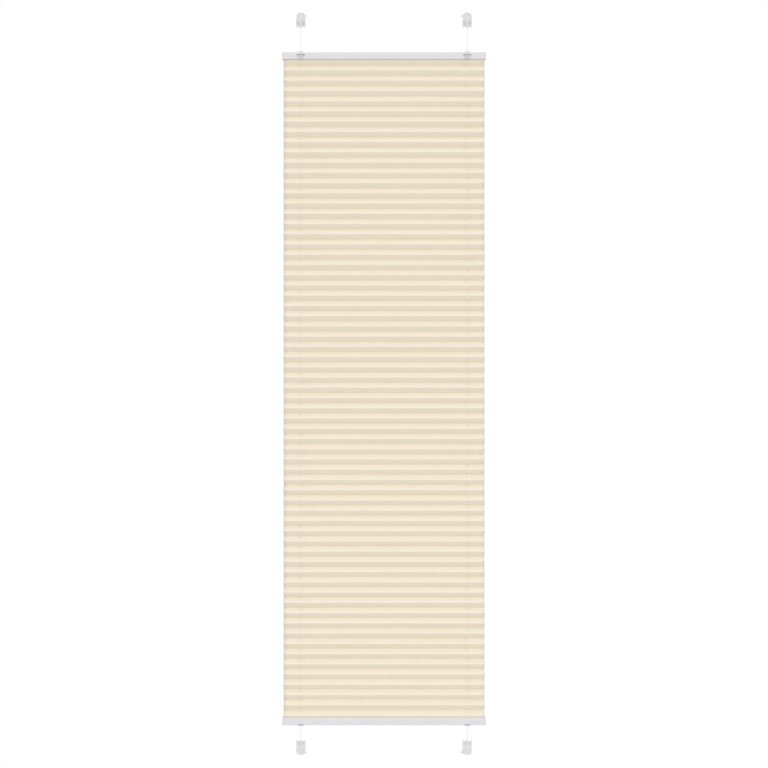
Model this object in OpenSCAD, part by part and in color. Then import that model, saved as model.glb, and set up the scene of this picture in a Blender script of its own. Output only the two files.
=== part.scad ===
// Pleated blind that hangs on two taut cords between four tension shoes.
// Millimetres. X runs along the rails, -Y points into the room and Z points up.
// The origin lies midway between the two top screw holes, on the mounting plane.

/* [Blind] */
// Length of each rail over its end caps
blind_w = 450; // [300:5:900]
// Height from the top rail's outer face to the bottom rail's outer face
drop = 1485; // [900:5:1900]
// Free cord between the top rail and the top shoes
top_gap = 57.5; // [20:0.5:150]
// Free cord between the bottom rail and the bottom shoes
bottom_gap = 36.5; // [20:0.5:150]
// From a rail's end to the cord's axis
cord_inset = 41; // [30:1:80]
// From the mounting plane forward to the cord's axis
cord_offset = 12; // [11.5:0.5:20]

/* [Cord] */
// Diameter of the cord
cord_d = 1; // [0.8:0.1:1.4]
// Room around the cord in a bore
cord_clear = 0.35; // [0.3:0.05:0.6]
// Sideways distance of a crossing cord from the cord's plane
cross_offset = 1.8; // [1.6:0.1:2.4]

/* [Pleated fabric] */
// Thickness of the folded sheet
fabric_t = 0.4; // [0.3:0.05:0.6]
// From a rail's end to the fabric's edge
fabric_inset = 3; // [3:0.5:10]
// Height of one full pleat, rounded so that whole pleats fill the drop
pleat_pitch = 22.6; // [18:0.2:30]
// Front fold to back fold
pleat_depth = 14; // [10:0.5:16]
// From the top rail's lips to the first fold
top_fold_gap = 0.8; // [0.8:0.1:2]
// From the bottom rail's lips to the last fold
bottom_fold_gap = 5.1; // [0.8:0.1:8]
// From a rail's lips to the turn of the fabric's flap
flap_gap = 0.3; // [0.3:0.05:0.6]
// Hole that each panel has for a cord
cord_hole_d = 2.2; // [2:0.1:4]

/* [Rail] */
// Front to back
rail_d = 20; // [18:0.5:24]
// Outer face to lips
rail_h = 16; // [15:0.5:22]
// Wall of the extrusion
rail_wall = 1.2; // [1:0.1:1.6]
// Clear height of the channel that the cord crosses in
cord_channel_h = 7.3; // [6.5:0.1:9]
// Web between the cord channel and the batten channel
web_t = 1; // [0.8:0.1:1.5]
// Opening between the lips, where the fabric comes out
lip_slot = 10; // [8:0.5:10.5]
// Radius of the two corners on the outer face
outer_corner_r = 0.8; // [0.4:0.1:1.5]
// Radius of the two corners on the fabric side
lip_corner_r = 3; // [2:0.1:4]

/* [Batten] */
// Width of the strip that grips the fabric's flap
batten_w = 14; // [12:0.5:15]
// Height of the strip
batten_h = 3; // [2.6:0.1:4]
// Depth of the slit for the flap
batten_slit = 2; // [1.6:0.1:2.2]
// From the front lip's edge to the middle of the slit
slit_inset = 0.5; // [0.5:0.05:1]
// Room on each side of the flap in its slit
slit_clear = 0.15; // [0.1:0.05:0.3]

/* [End cap] */
// Thickness of the flange
cap_t = 2.5; // [1.5:0.1:2.8]
// Length of the plug in the cord channel
cap_plug_l = 9; // [6:0.5:12]
// Wall of the plug
cap_wall = 1.3; // [1:0.1:1.8]
// How far the flange stands out past the rail's outline
cap_over = 0.4; // [0.1:0.1:0.8]
// Radius of the flange's corner on the fabric side
cap_corner_r = 1.8; // [1:0.1:2.4]

/* [Cord guide] */
// Width of the block in the cord channel
guide_w = 17; // [14:0.5:20]
// Room around a fitted plastic piece
fit_clear = 0.2; // [0.1:0.05:0.4]
// Diameter of the neck through the rail's outer face
neck_d = 9.6; // [7:0.1:11]
// Diameter of the collar on the outer face
collar_d = 14; // [12:0.5:17]
// Diameter of the collar's tip
collar_tip_d = 9.5; // [6:0.5:10]
// Height of the collar
collar_h = 2.5; // [2:0.5:6]
// Width of the window in the rail's face
window_w = 17.6; // [15:0.2:22]
// Height of the window
window_h = 4.4; // [3.6:0.2:4.4]
// From the rail's outer face to the window
window_top = 4; // [2.6:0.1:4]
// Width of the tongue below the window
tongue_w = 14; // [12:0.5:15]
// Width of the tongue's tip
tongue_tip_w = 9; // [6:0.5:11]
// How far the tongue hangs below the window
tongue_l = 7.6; // [4:0.2:8]
// Thickness of the tongue at its root
tongue_t = 0.8; // [0.8:0.1:2]
// Thickness of the tongue at its tip
tongue_tip_t = 0.5; // [0.3:0.1:0.8]
// Depth of the hollow behind the window, at its deep end
pocket_d = 0.5; // [0.5:0.5:5]
// Width of the tab on the bottom rail's guides
tab_w = 13; // [9:0.5:14]
// How far the tab reaches up the rail's face
tab_l = 2.6; // [1.6:0.1:4]
// Thickness of the tab
tab_t = 0.8; // [0.8:0.1:1.5]

/* [Tension shoe] */
// Width at the back
shoe_w = 21.5; // [19:0.5:26]
// Height from the feet to the arch
shoe_h = 31.5; // [29:0.5:38]
// Wall of the cover
shoe_wall = 1.6; // [1.2:0.1:2]
// How much each side leans in towards the front
shoe_draft = 1.4; // [0.4:0.1:1.6]
// Radius of the arch's two corners
shoe_corner_r = 9; // [7:0.5:9.5]
// Height of the front panel under the arch
panel_h = 17.7; // [15:0.1:19]
// How far the panel lies behind its rim
panel_recess = 1.4; // [0.5:0.1:1.6]
// Width of the rim
panel_rim = 0.9; // [0.6:0.1:1.5]
// Width of the sloped border between the rim and the panel
panel_border = 2.2; // [1:0.1:2.6]
// Height of the two feet
foot_h = 5.5; // [4:0.5:7]
// Width of each foot
foot_w = 3.6; // [3:0.1:4.5]
// From the cord's axis back to the foot of the slope
slope_setback = 1.5; // [1:0.1:2.5]
// Diameter of the nozzle's tip, which the cord leaves through
nozzle_d = 4.4; // [3.8:0.1:5]
// Diameter of the nozzle's root
nozzle_root_d = 7.4; // [5:0.1:7.6]
// How far the nozzle stands below the feet
nozzle_drop = 2.5; // [0.5:0.1:3]
// Diameter of the stop on the cord's end
stop_d = 3.6; // [3:0.1:4]
// Length of the stop
stop_l = 4; // [3:0.5:6]
// Cord left beyond the stop
cord_tail = 1.5; // [0.5:0.5:3]

/* [Fixing plate] */
// From the feet to the screw's axis
screw_height = 15; // [13:0.5:18]
// Diameter of the screw hole
screw_hole_d = 3.8; // [3:0.1:4.5]
// Diameter of the countersink
countersink_d = 7.6; // [6:0.1:9]
// Thickness of the pad on the mounting plane
pad_t = 1.2; // [1:0.1:1.6]
// Thickness of the flange that the cover slides over
flange_t = 1.5; // [1.2:0.1:2]
// How far the flange stands out past the pad on each side
flange_lip = 1.7; // [1.2:0.1:2.2]
// From the feet to the plate's lower edge
plate_rise = 4; // [0.5:0.5:6]
// How far the lug stands out beside the shoe
lug_reach = 2.6; // [1:0.2:4]
// Height of the lug
lug_h = 5; // [3:0.5:7]
// From the arch's top down to the lug
lug_drop = 2.6; // [2.2:0.1:4]

/* [Hidden] */

LEFT = -1;
RIGHT = 1;
FRONT = -1;
BACK = 1;
$fn = 48;
arc_steps = 6;
over = 1; // how far a cutting shape runs past the face that it cuts

cream = [0.94, 0.89, 0.79];
pale_grey = [0.89, 0.88, 0.90];
white_plastic = [0.90, 0.90, 0.91];
clear_grey = [0.85, 0.85, 0.87];
cord_white = [0.96, 0.96, 0.95];

// Heights of the main levels
top_shoe_z = -screw_height;
top_rail_z = top_shoe_z - top_gap;
bottom_rail_z = top_rail_z - drop;
bottom_shoe_z = bottom_rail_z - bottom_gap;

cord_x = blind_w / 2 - cord_inset;
bore_r = cord_d / 2 + cord_clear;
rail_l = blind_w - 2 * cap_t;
fabric_w = blind_w - 2 * fabric_inset;

// Channels of the rail, as depths below the outer face
channel_d = rail_d - 2 * rail_wall;
cord_channel_end = rail_wall + cord_channel_h;
batten_channel_start = cord_channel_end + web_t;
lip_top = rail_h - rail_wall;
cross_depth = rail_wall + cord_channel_h / 2;
window_end = window_top + window_h;

// Pleats: whole ones between the first and last front folds
first_fold_z = top_rail_z - rail_h - top_fold_gap;
last_fold_z = bottom_rail_z + rail_h + bottom_fold_gap;
pleat_count = round((first_fold_z - last_fold_z) / pleat_pitch);
panel_rise = (first_fold_z - last_fold_z) / (2 * pleat_count);
flap_y = -lip_slot / 2 + slit_inset;
flap_depth = lip_top - batten_slit + slit_clear;
flap_turn = rail_h + flap_gap;

// Depths of the shoe, forward from the mounting plane
plate_t = pad_t + flange_t;
cover_back = fit_clear;
cavity_front = cord_offset + stop_d / 2 + 3 * fit_clear;
shoe_depth = cavity_front + shoe_wall + panel_recess;
foot_depth = cord_offset - slope_setback;

// Heights of the shoe, up from its feet
panel_z = shoe_h - panel_h;
floor_z = foot_h + shoe_wall;
cavity_top = shoe_h - shoe_wall;
cord_end = panel_z + stop_l + cord_tail;
lug_root = shoe_w / 2 - shoe_corner_r;
slope = (panel_z - foot_h) / (shoe_depth - foot_depth);

// Outlines

// Points on an arc from one angle to another
function arc(centre, r, from, to) =
    [for (i = [0 : arc_steps]) let (a = from + (to - from) * i / arc_steps) centre + r * [cos(a), sin(a)]];

// Corners of a box from low to high, with one radius for its upper corners and one for its lower ones
function rounded(low, high, upper_r, lower_r) = concat(
    arc([high.x - upper_r, high.y - upper_r], upper_r, 0, 90),
    arc([low.x + upper_r, high.y - upper_r], upper_r, 90, 180),
    arc([low.x + lower_r, low.y + lower_r], lower_r, 180, 270),
    arc([high.x - lower_r, low.y + lower_r], lower_r, 270, 360));

// An arched outline that stands on z = low: straight feet, two rounded upper corners
function arched(w, low, high, r) = concat(
    [[-w / 2, low], [w / 2, low]],
    arc([w / 2 - r, high - r], r, 0, 90),
    arc([-w / 2 + r, high - r], r, 90, 180));

function unit(v) = v / norm(v);
function left_of(v) = [-v.y, v.x];

// Offset direction at a corner of a path, long enough to keep the strip's thickness
function mitre(before, at, after) =
    let (m = left_of(unit(at - before)), n = left_of(unit(after - at))) (m + n) / (1 + m * n);

// Outline of a strip of one thickness that follows a path
function strip(path, t) =
    let (
        last = len(path) - 1,
        side = [for (i = [0 : last])
            i == 0 ? left_of(unit(path[1] - path[0]))
            : i == last ? left_of(unit(path[last] - path[last - 1]))
            : mitre(path[i - 1], path[i], path[i + 1])]
    )
    concat([for (i = [0 : last]) path[i] + side[i] * t / 2],
           [for (i = [last : -1 : 0]) path[i] - side[i] * t / 2]);

// Side view of the folded sheet: a flap from the top batten, every fold, and a flap to the bottom batten
function pleat_path() = concat(
    [[flap_y, top_rail_z - flap_depth], [flap_y, top_rail_z - flap_turn]],
    [for (i = [0 : 2 * pleat_count])
        [(i % 2 == 0 ? FRONT : BACK) * pleat_depth / 2, first_fold_z - i * panel_rise]],
    [[flap_y, bottom_rail_z + flap_turn], [flap_y, bottom_rail_z + flap_depth]]);

// Placing

// Carries a (y, z) outline along X, centred
module along_x(length) {
    rotate([90, 0, 90]) linear_extrude(length, center = true) children();
}

// Carries an (x, z) outline forward, from one depth to another
module forward(from, to) {
    translate([0, -from, 0]) rotate([90, 0, 0]) linear_extrude(to - from) children();
}

// A cylinder along X, centred
module rod_x(length, r) {
    rotate([0, 90, 0]) cylinder(h = length, r = r, center = true);
}

// A rail's own frame: the cord's plane is y = 0, its outer face is z = 0 and the fabric is below it
module on_top_rail() {
    translate([0, -cord_offset, top_rail_z]) children();
}

module on_bottom_rail() {
    translate([0, -cord_offset, bottom_rail_z]) rotate([0, 180, 0]) children();
}

// A shoe's own frame: the mounting plane is y = 0, its feet stand on z = 0 and the cord leaves downwards
module on_top_shoe(side) {
    translate([side * cord_x, 0, top_shoe_z]) children();
}

module on_bottom_shoe(side) {
    translate([side * cord_x, 0, bottom_shoe_z]) rotate([0, 180, 0]) children();
}

// Fabric

module pleated_fabric() {
    color(cream)
    difference() {
        translate([0, -cord_offset, 0]) along_x(fabric_w) polygon(strip(pleat_path(), fabric_t));
        for (side = [LEFT, RIGHT])
            translate([side * cord_x, -cord_offset, bottom_rail_z])
                cylinder(h = drop, d = cord_hole_d, $fn = 6);
    }
}

// Rail and what it holds

// Outline of the rail, or of what stands out past it
module rail_outline(grow = 0) {
    half = rail_d / 2 + grow;
    polygon(rounded([-half, -rail_h - grow], [half, grow], outer_corner_r + grow, lip_corner_r + grow));
}

module rail_section() {
    inner_r = lip_corner_r - rail_wall;
    difference() {
        rail_outline();
        translate([-channel_d / 2, -cord_channel_end]) square([channel_d, cord_channel_h]);
        polygon(rounded([-channel_d / 2, -lip_top], [channel_d / 2, -batten_channel_start],
                        inner_r / 4, inner_r));
        translate([-lip_slot / 2, -rail_h - over]) square([lip_slot, rail_wall + 2 * over]);
    }
}

// A rail, with windows in its face where its guides have tongues
module rail(windowed) {
    neck_hole_r = neck_d / 2 + fit_clear;
    web_hole_r = 2 * bore_r;
    color(pale_grey)
    difference() {
        along_x(rail_l) rail_section();
        for (side = [LEFT, RIGHT])
            translate([side * cord_x, 0, 0]) {
                translate([0, 0, -rail_wall - over]) cylinder(h = rail_wall + 2 * over, r = neck_hole_r);
                translate([0, 0, -batten_channel_start - over]) cylinder(h = web_t + 2 * over, r = web_hole_r);
                if (windowed)
                    translate([-window_w / 2, -rail_d / 2 - over, -window_end])
                        cube([window_w, rail_wall + 2 * over, window_h]);
            }
    }
}

module batten() {
    slit_w = fabric_t + 2 * slit_clear;
    color(white_plastic)
    difference() {
        along_x(fabric_w)
            difference() {
                translate([-batten_w / 2, -lip_top]) square([batten_w, batten_h]);
                translate([flap_y - slit_w / 2, -lip_top - over]) square([slit_w, batten_slit + over]);
            }
        for (side = [LEFT, RIGHT])
            translate([side * cord_x, 0, -lip_top - over])
                cylinder(h = batten_h + 2 * over, r = cord_hole_d / 2 + slit_clear);
    }
}

// Cap for the rail's end that lies in the +X direction
module end_cap() {
    plug_d = channel_d - 2 * fit_clear;
    plug_h = cord_channel_h - 2 * fit_clear;
    low = -rail_h - cap_over;
    color(white_plastic)
    translate([rail_l / 2, 0, 0]) {
        intersection() {
            translate([cap_t / 2, 0, 0]) along_x(cap_t) rail_outline(cap_over);
            forward(-rail_d / 2 - over, rail_d / 2 + over)
                polygon(concat(
                    [[0, cap_over], [0, low]],
                    arc([cap_t - cap_corner_r, low + cap_corner_r], cap_corner_r, 270, 360),
                    arc([cap_t - outer_corner_r, cap_over - outer_corner_r], outer_corner_r, 0, 90)));
        }
        difference() {
            translate([-cap_plug_l, -plug_d / 2, -rail_wall - fit_clear - plug_h])
                cube([cap_plug_l, plug_d, plug_h]);
            translate([-cap_plug_l - over, -plug_d / 2 + cap_wall, -rail_wall - fit_clear - plug_h + cap_wall])
                cube([cap_plug_l, plug_d - 2 * cap_wall, plug_h - 2 * cap_wall]);
        }
    }
}

// The tongue that clips down over the rail's face below the window
module guide_tongue() {
    root_d = rail_d / 2 - rail_wall - fit_clear;
    face = rail_d / 2;
    tip = -window_end - tongue_l;
    root = -window_end + fit_clear;
    intersection() {
        along_x(tongue_w)
            polygon([
                [-root_d, root], [-face, root], [-face, tip], [-face - tongue_tip_t, tip],
                [-face - tongue_t, root], [-face - tongue_t / 2, root + tongue_t], [-root_d, root + tongue_t]]);
        forward(root_d - over, face + tongue_t + over)
            polygon([
                [-tongue_tip_w / 2, tip], [tongue_tip_w / 2, tip],
                [tongue_w / 2, root], [tongue_w / 2, root + tongue_t],
                [-tongue_w / 2, root + tongue_t], [-tongue_w / 2, root]]);
    }
}

// The hollow behind the window: its back wall slopes from the tongue to the window's outer edge
module guide_pocket(face) {
    low = -window_end + fit_clear + tongue_t;
    along_x(tongue_w)
        polygon([
            [-face - over, -window_top], [-face + pocket_d, -window_top], [-face, low], [-face - over, low]]);
}

// The tab that clips round the outer edge of a rail without windows
module guide_tab() {
    face = rail_d / 2;
    along_x(tab_w)
        polygon([
            [0, 0], [-face, 0], [-face, -tab_l], [-face - tab_t / 4, -tab_l],
            [-face - tab_t, tab_t - tab_l], [-face - tab_t / 4, tab_t], [0, tab_t]]);
}

module cord_guide(windowed) {
    block_d = channel_d - 2 * fit_clear;
    block_h = cord_channel_h - fit_clear;
    mouth_r = collar_tip_d / 2 - cord_d;
    color(white_plastic)
    difference() {
        union() {
            translate([-guide_w / 2, -block_d / 2, -rail_wall - block_h]) cube([guide_w, block_d, block_h]);
            translate([0, 0, -rail_wall]) cylinder(h = rail_wall, d = neck_d);
            cylinder(h = collar_h, d1 = collar_d, d2 = collar_tip_d);
            if (windowed) guide_tongue(); else guide_tab();
        }
        translate([0, 0, -batten_channel_start]) cylinder(h = batten_channel_start + collar_h + over, r = bore_r);
        translate([0, 0, collar_h / 2]) cylinder(h = collar_h / 2, r1 = bore_r, r2 = mouth_r);
        for (face = [FRONT, BACK])
            translate([0, face * cross_offset, -cross_depth]) rod_x(guide_w + 2 * over, bore_r);
        if (windowed) guide_pocket(block_d / 2);
    }
}

// One of the two cords that change side inside a rail
module cross_cord(face) {
    color(cord_white)
    translate([0, face * cross_offset, -cross_depth]) rod_x(2 * cord_x, cord_d / 2);
}

// Tension shoe

// The arched body, leaning in towards the front
module shoe_body() {
    front_w = shoe_w - 2 * shoe_draft;
    slice = fit_clear / 2;
    intersection() {
        hull() {
            forward(cover_back, cover_back + slice) polygon(arched(shoe_w, 0, shoe_h, shoe_corner_r));
            forward(shoe_depth - slice, shoe_depth)
                polygon(arched(front_w, 0, shoe_h - shoe_draft, shoe_corner_r - shoe_draft));
        }
        along_x(shoe_w + over)
            polygon([
                [-cover_back, 0], [-foot_depth, 0], [-foot_depth, foot_h],
                [-shoe_depth, panel_z], [-shoe_depth, shoe_h], [-cover_back, shoe_h]]);
    }
}

// The room inside, which keeps one wall behind the slope
module shoe_cavity() {
    inset = shoe_wall + shoe_draft;
    slope_wall = shoe_wall * sqrt(1 + slope * slope);
    room_d = function (z) foot_depth + (z - foot_h - slope_wall) / slope;
    room_z = foot_h + slope_wall + (cavity_front - foot_depth) * slope;
    intersection() {
        forward(plate_t, cavity_front)
            polygon(arched(shoe_w - 2 * inset, 0, shoe_h - inset, shoe_corner_r - inset));
        along_x(shoe_w)
            polygon([
                [-plate_t, floor_z], [-room_d(floor_z), floor_z], [-cavity_front, room_z],
                [-cavity_front, shoe_h], [-plate_t, shoe_h]]);
    }
}

// The undercut track at the back, which the fixing plate slides into from the feet
module plate_track() {
    track_w = shoe_w - 2 * shoe_wall;
    mouth_w = track_w - 2 * flange_lip;
    track_r = shoe_corner_r - shoe_wall;
    forward(pad_t - fit_clear, plate_t + fit_clear)
        polygon(arched(track_w, -over, cavity_top, track_r));
    forward(cover_back - over, pad_t)
        polygon(arched(mouth_w, -over, cavity_top - flange_lip, track_r - flange_lip));
}

// The part of the front that lies back inside the rim, with a sloped border round the panel
module panel_pocket() {
    low = panel_z - panel_recess * slope - over;
    slice = fit_clear / 2;
    edge = function (inset) arched(shoe_w - 2 * inset, low, shoe_h - inset, shoe_corner_r - inset);
    hull() {
        forward(shoe_depth - panel_recess, shoe_depth - panel_recess + slice)
            polygon(edge(shoe_draft + panel_rim + panel_border));
        forward(shoe_depth, shoe_depth + slice) polygon(edge(shoe_draft + panel_rim));
    }
}

// The notch that lets the plate's lug out, on the side given
module lug_notch(inner) {
    notch_low = shoe_h - lug_drop - lug_h - fit_clear;
    notch_h = lug_h + 2 * fit_clear;
    mirror([inner > 0 ? 0 : 1, 0, 0])
        translate([lug_root - fit_clear, -plate_t - fit_clear, notch_low])
            cube([shoe_w, plate_t + fit_clear, notch_h]);
}

module shoe(inner) {
    foot_gap_w = shoe_w - 2 * foot_w;
    color(clear_grey)
    difference() {
        union() {
            difference() {
                shoe_body();
                shoe_cavity();
                plate_track();
                panel_pocket();
                lug_notch(inner);
                translate([-foot_gap_w / 2, -shoe_depth, -over]) cube([foot_gap_w, shoe_depth, foot_h + over]);
            }
            translate([0, -cord_offset, -nozzle_drop])
                cylinder(h = panel_z + nozzle_drop, d1 = nozzle_d, d2 = nozzle_root_d);
        }
        translate([0, -cord_offset, -nozzle_drop - over])
            cylinder(h = panel_z + nozzle_drop + 2 * over, r = bore_r);
    }
}

module fixing_plate(inner) {
    flange_w = shoe_w - 2 * shoe_wall - 2 * fit_clear;
    flange_top = cavity_top - fit_clear;
    flange_r = shoe_corner_r - shoe_wall - fit_clear;
    lug_low = shoe_h - lug_drop - lug_h;
    lug_w = shoe_w / 2 + lug_reach - lug_root;
    cone_h = (countersink_d - screw_hole_d) / 2;
    color(white_plastic)
    difference() {
        union() {
            forward(0, pad_t)
                polygon(arched(flange_w - 2 * flange_lip, plate_rise, flange_top - flange_lip, flange_r - flange_lip));
            forward(pad_t, plate_t) polygon(arched(flange_w, plate_rise, flange_top, flange_r));
            mirror([inner > 0 ? 0 : 1, 0, 0])
                translate([lug_root, -plate_t, lug_low]) cube([lug_w, flange_t, lug_h]);
        }
        translate([0, over, screw_height]) rotate([90, 0, 0]) cylinder(h = plate_t + 2 * over, d = screw_hole_d);
        translate([0, -plate_t + cone_h, screw_height])
            rotate([90, 0, 0]) cylinder(h = cone_h, d1 = screw_hole_d, d2 = countersink_d);
    }
}

module cord_stop() {
    color(white_plastic)
    translate([0, -cord_offset, panel_z])
        difference() {
            cylinder(h = stop_l, d = stop_d);
            translate([0, 0, -over]) cylinder(h = stop_l + 2 * over, r = cord_d / 2 + slit_clear);
        }
}

// A straight cord line from stop to stop
module cord(side) {
    low = bottom_shoe_z - cord_end;
    high = top_shoe_z + cord_end;
    color(cord_white)
    translate([side * cord_x, -cord_offset, low]) cylinder(h = high - low, d = cord_d);
}

pleated_fabric();
cord(LEFT);  // left_cord
cord(RIGHT);  // right_cord

on_top_rail() rail(windowed = true);  // top_rail
on_top_rail() batten();  // top_batten
on_top_rail() mirror([1, 0, 0]) end_cap();  // top_left_end_cap
on_top_rail() end_cap();  // top_right_end_cap
on_top_rail() translate([-cord_x, 0, 0]) cord_guide(windowed = true);  // top_left_cord_guide
on_top_rail() translate([cord_x, 0, 0]) cord_guide(windowed = true);  // top_right_cord_guide
on_top_rail() cross_cord(FRONT);  // top_front_cross_cord
on_top_rail() cross_cord(BACK);  // top_back_cross_cord

on_bottom_rail() rail(windowed = false);  // bottom_rail
on_bottom_rail() batten();  // bottom_batten
on_bottom_rail() end_cap();  // bottom_left_end_cap
on_bottom_rail() mirror([1, 0, 0]) end_cap();  // bottom_right_end_cap
on_bottom_rail() translate([cord_x, 0, 0]) cord_guide(windowed = false);  // bottom_left_cord_guide
on_bottom_rail() translate([-cord_x, 0, 0]) cord_guide(windowed = false);  // bottom_right_cord_guide
on_bottom_rail() cross_cord(FRONT);  // bottom_front_cross_cord
on_bottom_rail() cross_cord(BACK);  // bottom_back_cross_cord

on_top_shoe(LEFT) shoe(RIGHT);  // top_left_shoe
on_top_shoe(RIGHT) shoe(LEFT);  // top_right_shoe
on_bottom_shoe(LEFT) shoe(LEFT);  // bottom_left_shoe
on_bottom_shoe(RIGHT) shoe(RIGHT);  // bottom_right_shoe
on_top_shoe(LEFT) fixing_plate(RIGHT);  // top_left_fixing_plate
on_top_shoe(RIGHT) fixing_plate(LEFT);  // top_right_fixing_plate
on_bottom_shoe(LEFT) fixing_plate(LEFT);  // bottom_left_fixing_plate
on_bottom_shoe(RIGHT) fixing_plate(RIGHT);  // bottom_right_fixing_plate
on_top_shoe(LEFT) cord_stop();  // top_left_cord_stop
on_top_shoe(RIGHT) cord_stop();  // top_right_cord_stop
on_bottom_shoe(LEFT) cord_stop();  // bottom_left_cord_stop
on_bottom_shoe(RIGHT) cord_stop();  // bottom_right_cord_stop
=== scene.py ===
"""Looks of a pleated blind that hangs on two taut cords between four tension shoes.

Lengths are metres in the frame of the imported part: X runs along the rails, -Y points into the room, Z is up.
"""

import logging
import math
from collections.abc import Sequence
from dataclasses import dataclass
from enum import Enum

import bmesh
import bpy
import numpy as np
from bpy.types import Material, Mesh, Node, NodeOutputs, NodeSocket, NodeTree, Object
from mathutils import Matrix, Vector
from mathutils.geometry import tessellate_polygon


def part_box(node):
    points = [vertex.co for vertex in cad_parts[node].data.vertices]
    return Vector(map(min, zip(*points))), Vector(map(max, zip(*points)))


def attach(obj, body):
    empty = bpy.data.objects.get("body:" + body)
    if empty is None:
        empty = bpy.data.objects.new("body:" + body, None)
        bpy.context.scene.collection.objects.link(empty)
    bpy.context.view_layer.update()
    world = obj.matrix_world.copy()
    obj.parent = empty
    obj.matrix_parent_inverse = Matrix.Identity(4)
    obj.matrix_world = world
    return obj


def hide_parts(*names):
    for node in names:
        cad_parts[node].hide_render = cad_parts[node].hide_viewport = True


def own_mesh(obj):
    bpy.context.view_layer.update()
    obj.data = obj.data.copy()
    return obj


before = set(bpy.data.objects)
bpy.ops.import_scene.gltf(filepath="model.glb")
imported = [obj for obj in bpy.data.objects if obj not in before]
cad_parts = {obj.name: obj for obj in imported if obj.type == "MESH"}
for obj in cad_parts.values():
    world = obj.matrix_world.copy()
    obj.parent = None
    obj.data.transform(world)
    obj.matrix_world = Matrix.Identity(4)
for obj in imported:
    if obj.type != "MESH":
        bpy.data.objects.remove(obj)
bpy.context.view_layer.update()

MM = 0.001
WELD_DISTANCE = 0.002 * MM
CLOTH_PLACE = "flat_place"
BRAID_PLACE = "braid_place"

Array = np.ndarray
Colour = tuple[float, float, float]
Plug = NodeSocket | float
SocketKinds = tuple[tuple[str, str], ...]

WHITE: Colour = (1.0, 1.0, 1.0)

# A Mix node has its colour sockets after those for numbers and vectors.
MIX_COLOUR_A, MIX_COLOUR_B, MIX_COLOUR_RESULT = 6, 7, 2

LOG = logging.getLogger("pleated_blind")


class Body(Enum):
    """The frame's three bodies."""

    FIXINGS = "fixings"
    TOP_RAIL = "top_rail_unit"
    BOTTOM_RAIL = "bottom_rail_unit"


class Slot(Enum):
    """The record's material slots."""

    CLOTH = "pleated_cloth"
    CORD = "cord"
    RAIL = "rail_coat"
    CAP = "cap_plastic"
    GUIDE = "guide_plastic"
    PLATE = "white_plastic"
    SHOE = "shoe_plastic"


class Way(Enum):
    """A direction along one axis, as a sign."""

    @property
    def label(self) -> str:
        """The word for it in a node's name."""
        return self.name.lower()


class Side(Way):
    """The blind's two sides, as the sign of X."""

    LEFT = -1
    RIGHT = 1


class End(Way):
    """The blind's two ends, as the sign of Z from the cloth to the rail."""

    TOP = 1
    BOTTOM = -1

    @property
    def body(self) -> Body:
        """The body of this end's rail."""
        return Body.TOP_RAIL if self is End.TOP else Body.BOTTOM_RAIL

    @property
    def joint(self) -> str:
        """The joint that this end's rail slides on."""
        return f"{self.label}_rail_slide"


# Surfaces


def arc(centre: Sequence[float], radius: float, start: float, stop: float, steps: int = 8) -> Array:
    """Points on an arc: centre + radius * (cos a, sin a), with a in degrees from start to stop.

    Args:
        centre: The arc's centre.
        radius: The arc's radius.
        start: First angle in degrees.
        stop: Last angle in degrees.
        steps: Number of chords.

    Returns:
        The points, one row each.
    """
    angle = np.radians(np.linspace(start, stop, steps + 1))
    return np.asarray(centre) + radius * np.stack([np.cos(angle), np.sin(angle)], axis=1)


def rounded_box(low: Sequence[float], high: Sequence[float], upper: float, lower: float) -> Array:
    """A box outline whose two upper and two lower corners are quarter circles, anticlockwise.

    Args:
        low: Lowest corner.
        high: Highest corner.
        upper: Radius of the upper corners.
        lower: Radius of the lower corners.

    Returns:
        The outline's points, one row each.
    """
    return np.concatenate([
        arc((high[0] - upper, high[1] - upper), upper, 0, 90),
        arc((low[0] + upper, high[1] - upper), upper, 90, 180),
        arc((low[0] + lower, low[1] + lower), lower, 180, 270),
        arc((high[0] - lower, low[1] + lower), lower, 270, 360),
    ])


def at_x(x: float, outline: Array) -> Array:
    """Puts a (y, z) outline at a place along X.

    Args:
        x: The place.
        outline: The outline's points, one row each.

    Returns:
        The points in space, one row each.
    """
    return np.concatenate([np.full((len(outline), 1), x), outline], axis=1)


def inward(loop: Array) -> Array:
    """Unit normals of an anticlockwise outline that point into it: each chord's direction, turned left.

    Args:
        loop: The outline's points, one row each.

    Returns:
        One normal per point.
    """
    chord = np.roll(loop, -1, axis=0) - np.roll(loop, 1, axis=0)
    left = np.stack([-chord[:, 1], chord[:, 0]], axis=1)
    return left / np.linalg.norm(left, axis=1, keepdims=True)


def smoothstep(low: float, high: float, value: Array) -> Array:
    """A ramp 3 t^2 - 2 t^3, with t going from 0 at low to 1 at high.

    Args:
        low: Where the ramp starts.
        high: Where the ramp ends.
        value: Places on the ramp.

    Returns:
        The ramp's heights.
    """
    t = np.clip((value - low) / (high - low), 0.0, 1.0)
    return t * t * (3.0 - 2.0 * t)


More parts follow.
